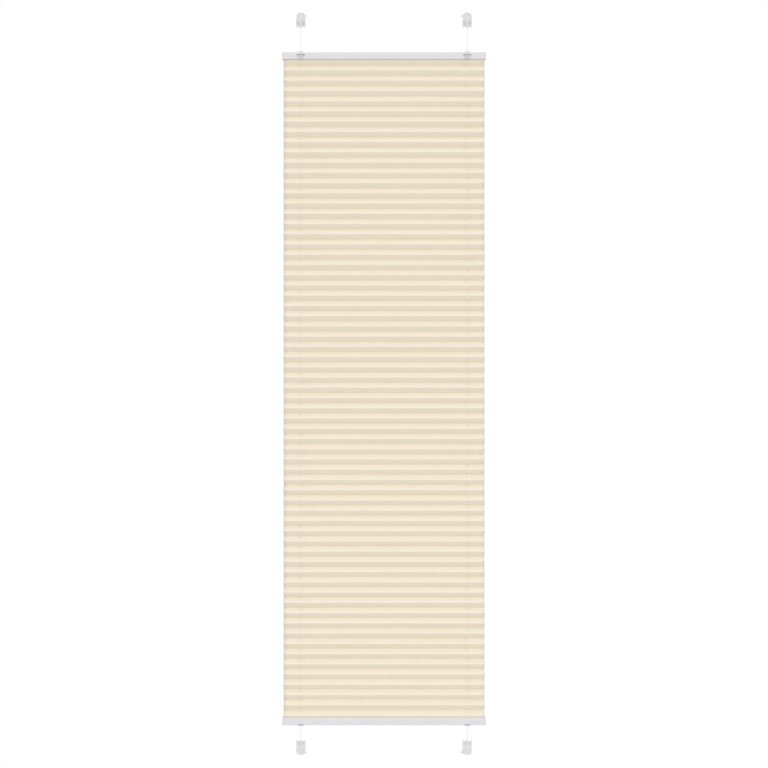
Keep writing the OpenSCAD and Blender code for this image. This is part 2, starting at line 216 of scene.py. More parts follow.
class Surface:
    """Grids and flat fills that become one mesh object."""

    def __init__(self, mark_name: str = "") -> None:
        """Starts an empty surface.

        Args:
            mark_name: Name of the vector that each point carries for its material, or nothing.
        """
        self.mark_name = mark_name
        self.points: list[Array] = []
        self.marks: list[Array] = []
        self.faces: list[list[int]] = []
        self.count = 0

    def add_grid(self, points: Array, wrap: bool = False, keep: Array | None = None,
                 marks: Array | None = None) -> None:
        """Adds a grid of points, or a stack of equal grids, and the quads between neighbours.

        Args:
            points: Array of shape (..., rows, columns, 3).
            wrap: Joins the last column to the first one.
            keep: Which quads of each grid are made, as (rows - 1, columns - 1) flags.
            marks: The vectors that the points carry, in the same shape as the points.
        """
        rows, columns = points.shape[-3:-1]
        stack = points.reshape(-1, rows * columns, 3)
        index = np.arange(rows * columns).reshape(rows, columns)
        if wrap:
            index = np.concatenate([index, index[:, :1]], axis=1)
        quads = np.stack([index[:-1, :-1], index[:-1, 1:], index[1:, 1:], index[1:, :-1]], axis=-1)
        quads = quads.reshape(-1, 4) if keep is None else quads[keep]
        starts = self.count + rows * columns * np.arange(len(stack))
        self.faces += (quads[None] + starts[:, None, None]).reshape(-1, 4).tolist()
        self._add_points(stack.reshape(-1, 3), marks)

    def add_fill(self, *loops: Array) -> None:
        """Fills a flat outline with triangles.

        Args:
            loops: The outline, then any holes in it, each of shape (points, 3).
        """
        triangles = tessellate_polygon([loop.tolist() for loop in loops])
        self.faces += (np.array(triangles) + self.count).tolist()
        self._add_points(np.concatenate(loops), None)

    def add_bar(self, loops: Array, marks: Array | None = None) -> None:
        """Joins closed loops into a skin and fills the first and the last one.

        Args:
            loops: Array of shape (loops, points, 3).
            marks: The vectors that the points carry, in the same shape.
        """
        self.add_grid(loops, wrap=True, marks=marks)
        self.add_fill(loops[0])
        self.add_fill(loops[-1])

    def _add_points(self, points: Array, marks: Array | None) -> None:
        """Keeps points and the vectors that they carry.

        Args:
            points: Array of shape (points, 3).
            marks: Their vectors in any shape, or nothing.
        """
        self.points.append(points)
        self.marks.append(np.zeros_like(points) if marks is None else marks.reshape(-1, 3))
        self.count += len(points)

    def make(self, name: str, crease_deg: float = 35.0) -> Object:
        """Welds the patches, turns their faces outwards and makes the object.

        Args:
            name: The object's name.
            crease_deg: Edges that turn more than this stay hard.

        Returns:
            The object, in the scene and at the origin.
        """
        mesh = bpy.data.meshes.new(name)
        mesh.from_pydata(np.concatenate(self.points).tolist(), [], self.faces)
        if self.mark_name:
            mark = mesh.attributes.new(self.mark_name, "FLOAT_VECTOR", "POINT")
            mark.data.foreach_set("vector", np.concatenate(self.marks).astype(np.float32).ravel())
        weld(mesh)
        return smooth_object(name, mesh, crease_deg)


def weld(mesh: Mesh) -> None:
    """Merges points that lie together and turns the faces of each shell outwards.

    Args:
        mesh: The mesh to change.
    """
    work = bmesh.new()
    work.from_mesh(mesh)
    bmesh.ops.remove_doubles(work, verts=work.verts, dist=WELD_DISTANCE)
    bmesh.ops.recalc_face_normals(work, faces=work.faces)
    work.to_mesh(mesh)
    work.free()


def smooth_object(name: str, mesh: Mesh, crease_deg: float) -> Object:
    """Makes an object of a mesh that is smooth apart from its hard edges.

    Args:
        name: The object's name.
        mesh: The mesh.
        crease_deg: Edges that turn more than this stay hard.

    Returns:
        The object, in the scene and at the origin.
    """
    mesh.shade_smooth()
    mesh.set_sharp_from_angle(angle=math.radians(crease_deg))
    piece = bpy.data.objects.new(name, mesh)
    bpy.context.scene.collection.objects.link(piece)
    return piece


# Shader nodes


class Graph:
    """Makes and joins the nodes of one tree."""

    def __init__(self, tree: NodeTree) -> None:
        """Takes the tree to fill."""
        self.tree = tree

    def node(self, kind: str, **settings: object) -> Node:
        """Adds a shader node.

        Args:
            kind: The end of the node's type name.
            settings: Properties to set on it.

        Returns:
            The node.
        """
        node = self.tree.nodes.new(f"ShaderNode{kind}")
        for name, value in settings.items():
            setattr(node, name, value)
        return node

    def feed(self, source: Plug | tuple[float, ...], target: NodeSocket) -> None:
        """Links a socket to another one, or sets a value on it.

        Args:
            source: A socket, a number or a row of numbers.
            target: The input socket.
        """
        if isinstance(source, NodeSocket):
            self.tree.links.new(source, target)
        else:
            target.default_value = source

    def wire(self, node: Node, **values: Plug | Colour) -> NodeOutputs:
        """Feeds several inputs of a node.

        Args:
            node: The node.
            values: A socket, number or colour for each input, with _ for a blank in its name.

        Returns:
            The node's outputs.
        """
        for name, value in values.items():
            source = (*value, 1.0) if isinstance(value, tuple) else value
            self.feed(source, node.inputs[name.replace("_", " ")])
        return node.outputs

    def math(self, operation: str, *values: Plug) -> NodeSocket:
        """Adds a Math node.

        Args:
            operation: The node's operation.
            values: Its inputs, as sockets or numbers.

        Returns:
            Its output.
        """
        node = self.node("Math", operation=operation)
        for source, target in zip(values, node.inputs):
            self.feed(source, target)
        return node.outputs[0]

    def noise(self, vector: NodeSocket, scale: Plug, detail: float) -> NodeSocket:
        """Reads a noise from 0 to 1 at a vector."""
        return self.wire(self.node("TexNoise"), Vector=vector, Scale=scale, Detail=detail)[0]

    def mean(self, first: NodeSocket, second: NodeSocket) -> NodeSocket:
        """Takes the mean of two values."""
        return self.math("MULTIPLY", self.math("ADD", first, second), 0.5)

    def around_one(self, value: Plug, spread: Plug) -> NodeSocket:
        """Turns a value from 0 to 1 into a factor 1 + spread * (value - 1/2)."""
        return self.math("MULTIPLY_ADD", self.math("SUBTRACT", value, 0.5), spread, 1.0)

    def scaled(self, source: NodeSocket | Colour, factor: Plug) -> NodeSocket:
        """Multiplies a colour or a vector by a factor.

        Args:
            source: A socket or a linear colour.
            factor: The factor.

        Returns:
            The product.
        """
        node = self.node("VectorMath", operation="SCALE")
        self.feed(source, node.inputs[0])
        self.feed(factor, node.inputs["Scale"])
        return node.outputs[0]

    def axes(self, vector: NodeSocket) -> NodeOutputs:
        """Splits a vector into X, Y and Z."""
        return self.wire(self.node("SeparateXYZ"), Vector=vector)

    def joined(self, x: NodeSocket, y: NodeSocket) -> NodeSocket:
        """Joins X and Y into a vector."""
        return self.wire(self.node("CombineXYZ"), X=x, Y=y)[0]


@dataclass(frozen=True)
class EffectGroup:
    """A shader node group with named inputs and outputs."""

    name: str
    inputs: SocketKinds
    outputs: SocketKinds

    def tree(self) -> NodeTree:
        """The group's tree, filled the first time that it is asked for.

        Returns:
            The tree.
        """
        found = bpy.data.node_groups.get(self.name)
        if found is not None:
            return found
        tree = bpy.data.node_groups.new(self.name, "ShaderNodeTree")
        for in_out, sockets in (("INPUT", self.inputs), ("OUTPUT", self.outputs)):
            for name, kind in sockets:
                tree.interface.new_socket(name, in_out=in_out, socket_type=f"NodeSocket{kind}")
        self.fill(Graph(tree), tree.nodes.new("NodeGroupInput").outputs, tree.nodes.new("NodeGroupOutput"))
        return tree

    def fill(self, graph: Graph, source: NodeOutputs, target: Node) -> None:
        """Makes the group's inner nodes.

        Args:
            graph: The group's graph.
            source: The group's inputs, as sockets inside it.
            target: The node that takes the group's outputs.
        """
        raise NotImplementedError

    def place(self, graph: Graph, **values: Plug | Colour) -> NodeOutputs:
        """Puts the group into a material and feeds it."""
        return graph.wire(graph.node("Group", node_tree=self.tree()), **values)


@dataclass(frozen=True)
class FineGrain(EffectGroup):
    """A fine grain and a broad mottle, for coats and moulded plastics."""

    name: str = "fine_grain"
    inputs: SocketKinds = (("Vector", "Vector"), ("Scale", "Float"), ("Color", "Color"), ("Tint", "Float"),
                           ("Rough", "Float"), ("Rough spread", "Float"))
    outputs: SocketKinds = (("Color", "Color"), ("Roughness", "Float"), ("Height", "Float"))
    fine_detail: float = 3.0
    broad_scale: float = 45.0
    broad_detail: float = 2.0

    def fill(self, graph: Graph, source: NodeOutputs, target: Node) -> None:
        """Height is a fine noise; a broad noise tints the colour, and both move the roughness.

        Args:
            graph: The group's graph.
            source: The group's inputs, as sockets inside it.
            target: The node that takes the group's outputs.
        """
        fine = graph.noise(source["Vector"], source["Scale"], self.fine_detail)
        broad = graph.noise(source["Vector"], self.broad_scale, self.broad_detail)
        tinted = graph.scaled(source["Color"], graph.around_one(broad, source["Tint"]))
        rough = graph.around_one(graph.mean(fine, broad), source["Rough spread"])
        rough = graph.math("MULTIPLY", source["Rough"], rough)
        graph.wire(target, Color=tinted, Roughness=rough, Height=fine)


@dataclass(frozen=True)
class ThreadWeave(EffectGroup):
    """Threads that cross over and under each other, for the cloth and the braided cords."""

    name: str = "thread_weave"
    inputs: SocketKinds = (("Vector", "Vector"), ("Slub", "Float"))
    outputs: SocketKinds = (("Height", "Float"), ("Shade", "Float"))
    slub_detail: float = 1.0

    def fill(self, graph: Graph, source: NodeOutputs, target: Node) -> None:
        """One unit of X or Y is one thread.

        Each thread's height is |sin(pi x)| or |sin(pi y)|, and the sign of sin(pi x) sin(pi y) says which
        of the two lies on top. Shade is a noise stretched along both threads, and Slub its length.

        Args:
            graph: The group's graph.
            source: The group's inputs, as sockets inside it.
            target: The node that takes the group's outputs.
        """
        axes = graph.axes(source["Vector"])
        wave_x, wave_y = (graph.math("SINE", graph.math("MULTIPLY", axes[name], math.pi)) for name in "XY")
        on_top = graph.math("GREATER_THAN", graph.math("MULTIPLY", wave_x, wave_y), 0.0)
        height = graph.wire(graph.node("Mix", data_type="FLOAT"), Factor=on_top,
                            A=graph.math("ABSOLUTE", wave_x), B=graph.math("ABSOLUTE", wave_y))
        slubs = []
        for along, across in (("X", "Y"), ("Y", "X")):
            place = graph.joined(graph.math("DIVIDE", axes[along], source["Slub"]), axes[across])
            slubs.append(graph.noise(place, 1.0, self.slub_detail))
        graph.wire(target, Height=height["Result"], Shade=graph.mean(*slubs))


FINE_GRAIN = FineGrain()
THREAD_WEAVE = ThreadWeave()


@dataclass(frozen=True)
class Finish:
    """A material that is made once. A colour is linear, and a height is in metres."""

    name: str
    colour: Colour
    roughness: float
    bump_height: float
    bump_strength: float

    def material(self) -> Material:
        """The finish's material, made the first time that it is asked for.

        Returns:
            The material.
        """
        found = bpy.data.materials.get(self.name)
        if found is not None:
            return found
        material = bpy.data.materials.new(self.name)
        material.use_nodes = True
        material.diffuse_color = (*self.colour, 1.0)
        self.shade(Graph(material.node_tree), material.node_tree.nodes["Principled BSDF"])
        return material

    def shade(self, graph: Graph, shader: Node) -> None:
        """Joins the finish's nodes to the shader.

        Args:
            graph: The material's graph.
            shader: Its Principled BSDF.
        """
        raise NotImplementedError

    def bump(self, graph: Graph, height: NodeSocket) -> NodeSocket:
        """Turns a height from 0 to 1 into a normal."""
        return graph.wire(graph.node("Bump"), Strength=self.bump_strength,
                          Distance=self.bump_height, Height=height)["Normal"]

    def dress(self, piece: Object) -> None:
        """Gives a piece this material alone.

        Args:
            piece: A new piece or a node of the frame.
        """
        if piece.data.materials:
            piece.material_slots[0].material = self.material()
        else:
            piece.data.materials.append(self.material())


@dataclass(frozen=True)
class GrainFinish(Finish):
    """A coat or a moulded plastic with a fine grain."""

    grain_scale: float
    tint: float
    roughness_spread: float = 0.35
    coat: float = 0.0

    def shade(self, graph: Graph, shader: Node) -> None:
        """Grain on Object coordinates drives colour, roughness and bump.

        Args:
            graph: The material's graph.
            shader: Its Principled BSDF.
        """
        place = graph.node("TexCoord").outputs["Object"]
        grain = FINE_GRAIN.place(
            graph, Vector=place, Scale=self.grain_scale, Color=self.colour, Tint=self.tint,
            Rough=self.roughness, Rough_spread=self.roughness_spread)
        graph.wire(shader, Base_Color=grain["Color"], Roughness=grain["Roughness"], Coat_Weight=self.coat,
                   Normal=self.bump(graph, grain["Height"]))


@dataclass(frozen=True)
class ClothFinish(Finish):
    """A woven polyester cloth with hot-cut edges."""

    edge_colour: Colour = (0.90, 0.835, 0.705)
    thread: float = 0.36 * MM
    slub_length: float = 40.0
    tint: float = 0.03
    edge_width: float = 1.6 * MM
    sheen: float = 0.1
    specular: float = 0.25

    def shade(self, graph: Graph, shader: Node) -> None:
        """The weave follows the cloth's own flat place; Z of that place is the distance from a cut edge.

        Args:
            graph: The material's graph.
            shader: Its Principled BSDF.
        """
        place = graph.node("Attribute", attribute_name=CLOTH_PLACE).outputs["Vector"]
        threads = graph.scaled(place, 1.0 / self.thread)
        weave = THREAD_WEAVE.place(graph, Vector=threads, Slub=self.slub_length)
        cloth = graph.scaled(self.colour, graph.around_one(weave["Shade"], self.tint))
        edge = graph.wire(graph.node("MapRange", interpolation_type="SMOOTHSTEP"),
                          Value=graph.axes(place)["Z"], From_Max=self.edge_width, To_Min=1.0, To_Max=0.0)
        mixed = graph.node("Mix", data_type="RGBA")
        graph.feed(edge["Result"], mixed.inputs["Factor"])
        graph.feed(cloth, mixed.inputs[MIX_COLOUR_A])
        graph.feed((*self.edge_colour, 1.0), mixed.inputs[MIX_COLOUR_B])
        rough = graph.math("MULTIPLY", graph.around_one(weave["Shade"], -self.tint), self.roughness)
        graph.wire(shader, Base_Color=mixed.outputs[MIX_COLOUR_RESULT], Roughness=rough,
                   Sheen_Weight=self.sheen, Specular_IOR_Level=self.specular,
                   Normal=self.bump(graph, weave["Height"]))


@dataclass(frozen=True)
class BraidFinish(Finish):
    """A braided cord. Its place holds the cosine and sine of the turn, and the distance along the cord."""

    strands: int = 4
    pitch: float = 1.6 * MM
    slub_length: float = 12.0
    # How far the painted shade darkens the strands' grooves and lightens their crowns.
    tint: float = 0.06

    def shade(self, graph: Graph, shader: Node) -> None:
        """Two families of strands wind both ways: turn * strands + and - length / pitch; painted shade makes
        the grooves between them darker and their crowns lighter.

        Args:
            graph: The material's graph.
            shader: Its Principled BSDF.
        """
        place = graph.node("Attribute", attribute_name=BRAID_PLACE).outputs["Vector"]
        axes = graph.axes(place)
        turn = graph.math("ARCTAN2", axes["Y"], axes["X"])
        wound = graph.math("MULTIPLY", turn, self.strands / math.pi)
        along = graph.math("DIVIDE", axes["Z"], self.pitch)
        threads = graph.joined(graph.math("ADD", wound, along), graph.math("SUBTRACT", wound, along))
        weave = THREAD_WEAVE.place(graph, Vector=threads, Slub=self.slub_length)
        # Painted shade: the colour is darker in the grooves between strands and lighter on their crowns.
        factor = graph.around_one(weave["Height"], self.tint)
        graph.wire(shader, Base_Color=graph.scaled(self.colour, factor),
                   Roughness=graph.math("MULTIPLY", factor, self.roughness),
                   Normal=self.bump(graph, weave["Height"]))


CREAM_CLOTH = ClothFinish("cream_polyester_weave", (0.899, 0.832, 0.701), 0.85, 0.05 * MM, 0.25)
WHITE_BRAID = BraidFinish("white_braided_cord", (0.765, 0.765, 0.765), 0.6, 0.03 * MM, 0.5)
RAIL_COAT = GrainFinish("pale_grey_rail_coat", (0.745, 0.735, 0.76), 0.42, 0.01 * MM, 0.12, 1400.0, 0.012)
CAP_PLASTIC = GrainFinish("pale_grey_cap_plastic", (0.74, 0.73, 0.755), 0.5, 0.02 * MM, 0.2, 1100.0, 0.02)
# The guides' grey is partly the plastic's own tone and partly painted shade: it is darkened so that the rail's
# windows look shaded.
GUIDE_PLASTIC_AND_WINDOW_SHADE = GrainFinish("grey_guide_plastic", (0.56, 0.56, 0.575), 0.38, 0.02 * MM, 0.15, 1000.0, 0.03)
WHITE_PLASTIC = GrainFinish("white_fixing_plastic", (0.92, 0.91, 0.92), 0.45, 0.02 * MM, 0.15, 1000.0, 0.03)
SHOE_PLASTIC = GrainFinish("grey_white_shoe_plastic", (0.739, 0.715, 0.739), 0.22, 0.015 * MM, 0.1, 700.0,
                           0.03, roughness_spread=0.3, coat=0.4)
PLAIN_CORD = GrainFinish("white_cross_cord", (0.88, 0.88, 0.87), 0.6, 0.05 * MM, 0.4, 2500.0, 0.06)
PALE_FLOOR = GrainFinish("pale_floor", (0.80, 0.80, 0.80), 0.9, 1.0 * MM, 0.05, 60.0, 0.01)


# Pieces


def settle(piece: Object, finish: Finish, slot: Slot, body: Body, *nodes: str) -> None:
    """Dresses a piece and ties it to the frame.

    Args:
        piece: The piece.
        finish: Its material.
        slot: The material slot that the finish stands for; not used.
        body: The body that carries it.
        nodes: The nodes that it stands for.
    """
    finish.dress(piece)
    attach(piece, body.value)
    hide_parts(*nodes)
    LOG.info("%s: %d faces, on %s", piece.name, len(piece.data.polygons), body.value)


@dataclass
class PleatedCloth:
    """The folded sheet, as two half sheets that meet at the middle fold.

    The crease and its rows are shares of a panel.
    """

    finish: ClothFinish = CREAM_CLOTH
    pleats: int = 64
    depth: float = 14.0 * MM
    thickness: float = 0.4 * MM
    top_gap: float = 0.8 * MM
    bottom_gap: float = 5.1 * MM
    flap_forward: float = 4.5 * MM
    flap_gap: float = 0.3 * MM
    flap_reach: float = 3.05 * MM
    flap_steps: tuple[float, ...] = (0.0, 0.1, 0.5, 0.9)
    crease: float = 0.03
    crease_rows: tuple[float, ...] = (0.0, 0.02, 0.055, 0.15)
    hard_deg: float = 60.0
    hole_radius: float = 1.25 * MM
    hole_rings: tuple[float, ...] = (0.0, 0.4, 1.0)
    patch_half: float = 2.4 * MM
    patch_cells: int = 6
    edge_cells: int = 3
    middle_cells: int = 24
    held_folds: int = 4
    wander: float = 0.04 * MM
    bow: float = 0.10 * MM
    seed: int = 11
    wave_lengths: tuple[float, ...] = (0.61, 0.27, 0.11)

    def __post_init__(self) -> None:
        """Takes the sheet's places from the frame and draws its small irregularities."""
        low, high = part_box("pleated_fabric")
        self.left, self.right = low.x, high.x
        cords = np.array([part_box(f"{side.label}_cord") for side in Side]).mean(axis=1)
        self.cord_x, self.mid_y = cords[:, 0], cords[0, 1]
        self.lips = {End.TOP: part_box("top_rail")[0].z, End.BOTTOM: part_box("bottom_rail")[1].z}
        self.first = self.lips[End.TOP] - self.top_gap
        self.last = self.lips[End.BOTTOM] + self.bottom_gap
        self.folds = 2 * self.pleats
        self.rise = (self.first - self.last) / self.folds
        self.panel = math.hypot(self.rise, self.depth)
        draw = np.random.default_rng(self.seed)
        self.phases = draw.uniform(0.0, 2.0 * math.pi, (self.folds + 1, 2, len(self.wave_lengths)))
        self.bows = draw.uniform(-1.0, 1.0, self.folds) * self.bow

    def drift(self, fold: Array, across: Array) -> Array:
        """How far a fold's line wanders from straight: a sum of sines along X, less near the rails.

        Args:
            fold: Numbers of folds.
            across: Places along X, in the same shape.

        Returns:
            Steps in Y and Z, with one more axis of two.
        """
        lengths = np.array(self.wave_lengths)
        angle = 2.0 * math.pi * across[..., None, None] / lengths + self.phases[fold]
        held = np.minimum(fold, self.folds - fold).clip(0, self.held_folds) / self.held_folds
        return self.wander * held[..., None] * (np.sin(angle) * lengths / lengths[0]).sum(axis=-1)

    def place(self, across: Array, fold: Array) -> Array:
        """Points of the sheet.

        Fold n lies n rises below the first fold, in front where n is even and behind where it is odd.
        With a as the distance to the nearest fold and c as the crease, the depth falls from that fold by
        (sqrt(a^2 + c^2) - c), which is a straight panel with a small round crease. Each panel bows by a sine.

        Args:
            across: Places along X.
            fold: Places along the sheet, counted in folds.

        Returns:
            The points, with one more axis of three.
        """
        across, fold = np.broadcast_arrays(across, fold)
        nearest = np.rint(fold).astype(int)
        side = np.where(nearest % 2 == 0, -1.0, 1.0)
        fall = np.hypot(fold - nearest, self.crease) - self.crease
        reach = math.hypot(0.5, self.crease) - self.crease
        y = self.mid_y + side * self.depth / 2 * (1.0 - fall / reach)
        z = self.first - self.rise * fold
        before = np.floor(fold).astype(int).clip(0, self.folds - 1)
        share = fold - before
        above, below = self.drift(before, across), self.drift(before + 1, across)
        drift = (1.0 - share)[..., None] * above + share[..., None] * below
        bulge = self.bows[before] * np.sin(math.pi * share) / self.panel
        slope = np.where(before % 2 == 0, 1.0, -1.0)
        y = y + drift[..., 0] - bulge * self.rise
        z = z + drift[..., 1] - bulge * slope * self.depth
        return np.stack([across, y, z], axis=-1)

    def flat_place(self, across: Array, fold: Array) -> Array:
        """Where points lie on the sheet before it was folded, and how far from its side edges.

        Args:
            across: Places along X.
            fold: Places along the sheet, counted in folds.

        Returns:
            X, length along the sheet and distance to the nearest side edge, on one more axis.
        """
        across, fold = np.broadcast_arrays(across, fold)
        edge = np.minimum(across - self.left, self.right - across)
        return np.stack([across, fold * self.panel, edge], axis=-1)

    def columns(self) -> Array:
        """Places of the grid's columns, closer together at the cord holes.

        Returns:
            The columns' places along X.
        """
        cells = np.linspace(-self.patch_half, self.patch_half, self.patch_cells + 1)[:-1]
        left, right = self.cord_x
        half = self.patch_half
        return np.concatenate([
            np.linspace(self.left, left - half, self.edge_cells + 1)[:-1], left + cells,
            np.linspace(left + half, right - half, self.middle_cells + 1)[:-1], right + cells,
            np.linspace(right + half, self.right, self.edge_cells + 1)])

    def rows(self, first: int, last: int) -> Array:
        """Places of the grid's rows, closer together at the creases and the cord holes.

        Args:
            first: First fold.
            last: Last fold.

        Returns:
            The rows' places along the sheet, counted in folds.
        """
        crease = np.array(self.crease_rows)
        half = self.patch_half / self.panel
        holes = np.linspace(0.5 - half, 0.5 + half, self.patch_cells + 1)
        panel = np.concatenate([crease, holes, 1.0 - crease[:0:-1]])
        return np.append((np.arange(first, last)[:, None] + panel).ravel(), last)

    def near_cord(self, across: Array) -> Array:
        """Whether places along X lie within a hole's patch."""
        return (np.abs(across[:, None] - self.cord_x) < self.patch_half).any(axis=1)

    def add_panels(self, sheet: Surface, first: int, last: int) -> None:
        """Adds the panels between two folds, with a round hole in each one for each cord.

        A hole's patch is a stack of rings that go from a circle to the square that the grid leaves open.

        Args:
            sheet: The surface to add to.
            first: First fold.
            last: Last fold.
        """
        across, fold = self.columns(), self.rows(first, last)
        mid_x, mid_fold = (across[1:] + across[:-1]) / 2, (fold[1:] + fold[:-1]) / 2
        in_patch = np.abs(mid_fold % 1.0 - 0.5) < self.patch_half / self.panel
        sheet.add_grid(self.place(across, fold[:, None]), keep=~(in_patch[:, None] & self.near_cord(mid_x)),
                       marks=self.flat_place(across, fold[:, None]))
        step = np.linspace(-1.0, 1.0, self.patch_cells + 1)[:-1]
        one = np.ones_like(step)
        square = np.concatenate([np.stack(pair, axis=1) for pair in
                                 ((one, step), (-step, one), (-one, -step), (step, -one))])
        circle = square / np.linalg.norm(square, axis=1, keepdims=True)
        ring = np.array(self.hole_rings)[:, None, None]
        patch = (1.0 - ring) * circle * self.hole_radius + ring * square * self.patch_half
        middles = (np.arange(first, last) + 0.5)[:, None, None, None]
        hole_x = self.cord_x[:, None, None] + patch[..., 0]
        hole_fold = middles + patch[..., 1] / self.panel
        sheet.add_grid(self.place(hole_x, hole_fold), wrap=True, marks=self.flat_place(hole_x, hole_fold))

    def add_flap(self, sheet: Surface, end: End) -> float:
        """Adds the end of the sheet: back from the end fold to the front lip's edge, then into the rail.

        Args:
            sheet: The surface to add to.
            end: Which end.

        Returns:
            The flap's length along the sheet.
        """
        fold = 0 if end is End.TOP else self.folds
        across = self.columns()
        start = self.place(across, np.full_like(across, fold))
        turn, tip = start.copy(), start.copy()
        turn[:, 1] = tip[:, 1] = self.mid_y - self.flap_forward
        turn[:, 2] = self.lips[end] - end.value * self.flap_gap
        tip[:, 2] = self.lips[end] + end.value * self.flap_reach
        step = np.array(self.flap_steps)[:, None, None]
        points = np.concatenate([start + step * (turn - start), turn + step * (tip - turn), tip[None]])
        length = np.linalg.norm(np.diff(points, axis=0), axis=-1).cumsum(axis=0)
        along = np.concatenate([np.zeros((1, len(across))), length])
        sheet.add_grid(points, marks=self.flat_place(across, fold - end.value * along / self.panel))
        return float(along[-1, 0])

    def build(self) -> None:
        """Makes both half sheets and gives the cloth its thickness."""
        half = self.folds // 2
        for end, first, last in ((End.TOP, 0, half), (End.BOTTOM, half, self.folds)):
            sheet = Surface(CLOTH_PLACE)
            self.add_panels(sheet, first, last)
            flap = self.add_flap(sheet, end)
            piece = sheet.make(f"{end.label}_half_of_cloth", self.hard_deg)
            wall = piece.modifiers.new("cloth_thickness", "SOLIDIFY")
            wall.thickness = self.thickness
            wall.offset = 0.0
            settle(piece, self.finish, Slot.CLOTH, Body.FIXINGS, "pleated_fabric")
            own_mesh(piece)


@dataclass
class CordLine:
    """A taut braided cord between the stops of two shoes."""

    side: Side
    finish: BraidFinish = WHITE_BRAID
    facets: int = 12
    step: float = 0.4 * MM
    braid_height: float = 0.05
    hard_deg: float = 80.0

    def build(self) -> None:
        """Makes the cord as a tube whose radius swells at each strand.

        With a as the turn, l as the length, h as the braid's height, p as its pitch and n as its strands,
        the radius is r * (1 + h * (cos(2 pi l / p) cos(n a) - 1) / 2).
        """
        node = f"{self.side.label}_cord"
        low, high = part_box(node)
        centre, radius, tall = (low + high) / 2, (high.x - low.x) / 2, high.z - low.z
        turn, length = np.meshgrid(np.linspace(0.0, 2.0 * math.pi, self.facets, endpoint=False),
                                   np.linspace(0.0, tall, int(tall / self.step) + 1))
        swell = np.cos(2.0 * math.pi * length / self.finish.pitch) * np.cos(self.finish.strands * turn)
        r = radius * (1.0 + self.braid_height * (swell - 1.0) / 2.0)
        x, y = np.cos(turn), np.sin(turn)
        points = np.stack([centre.x + r * x, centre.y + r * y, low.z + length], axis=-1)
        tube = Surface(BRAID_PLACE)
        tube.add_bar(points, marks=np.stack([x, y, length], axis=-1))
        piece = tube.make(f"{self.side.label}_braided_cord", self.hard_deg)
        settle(piece, self.finish, Slot.CORD, Body.FIXINGS, node)


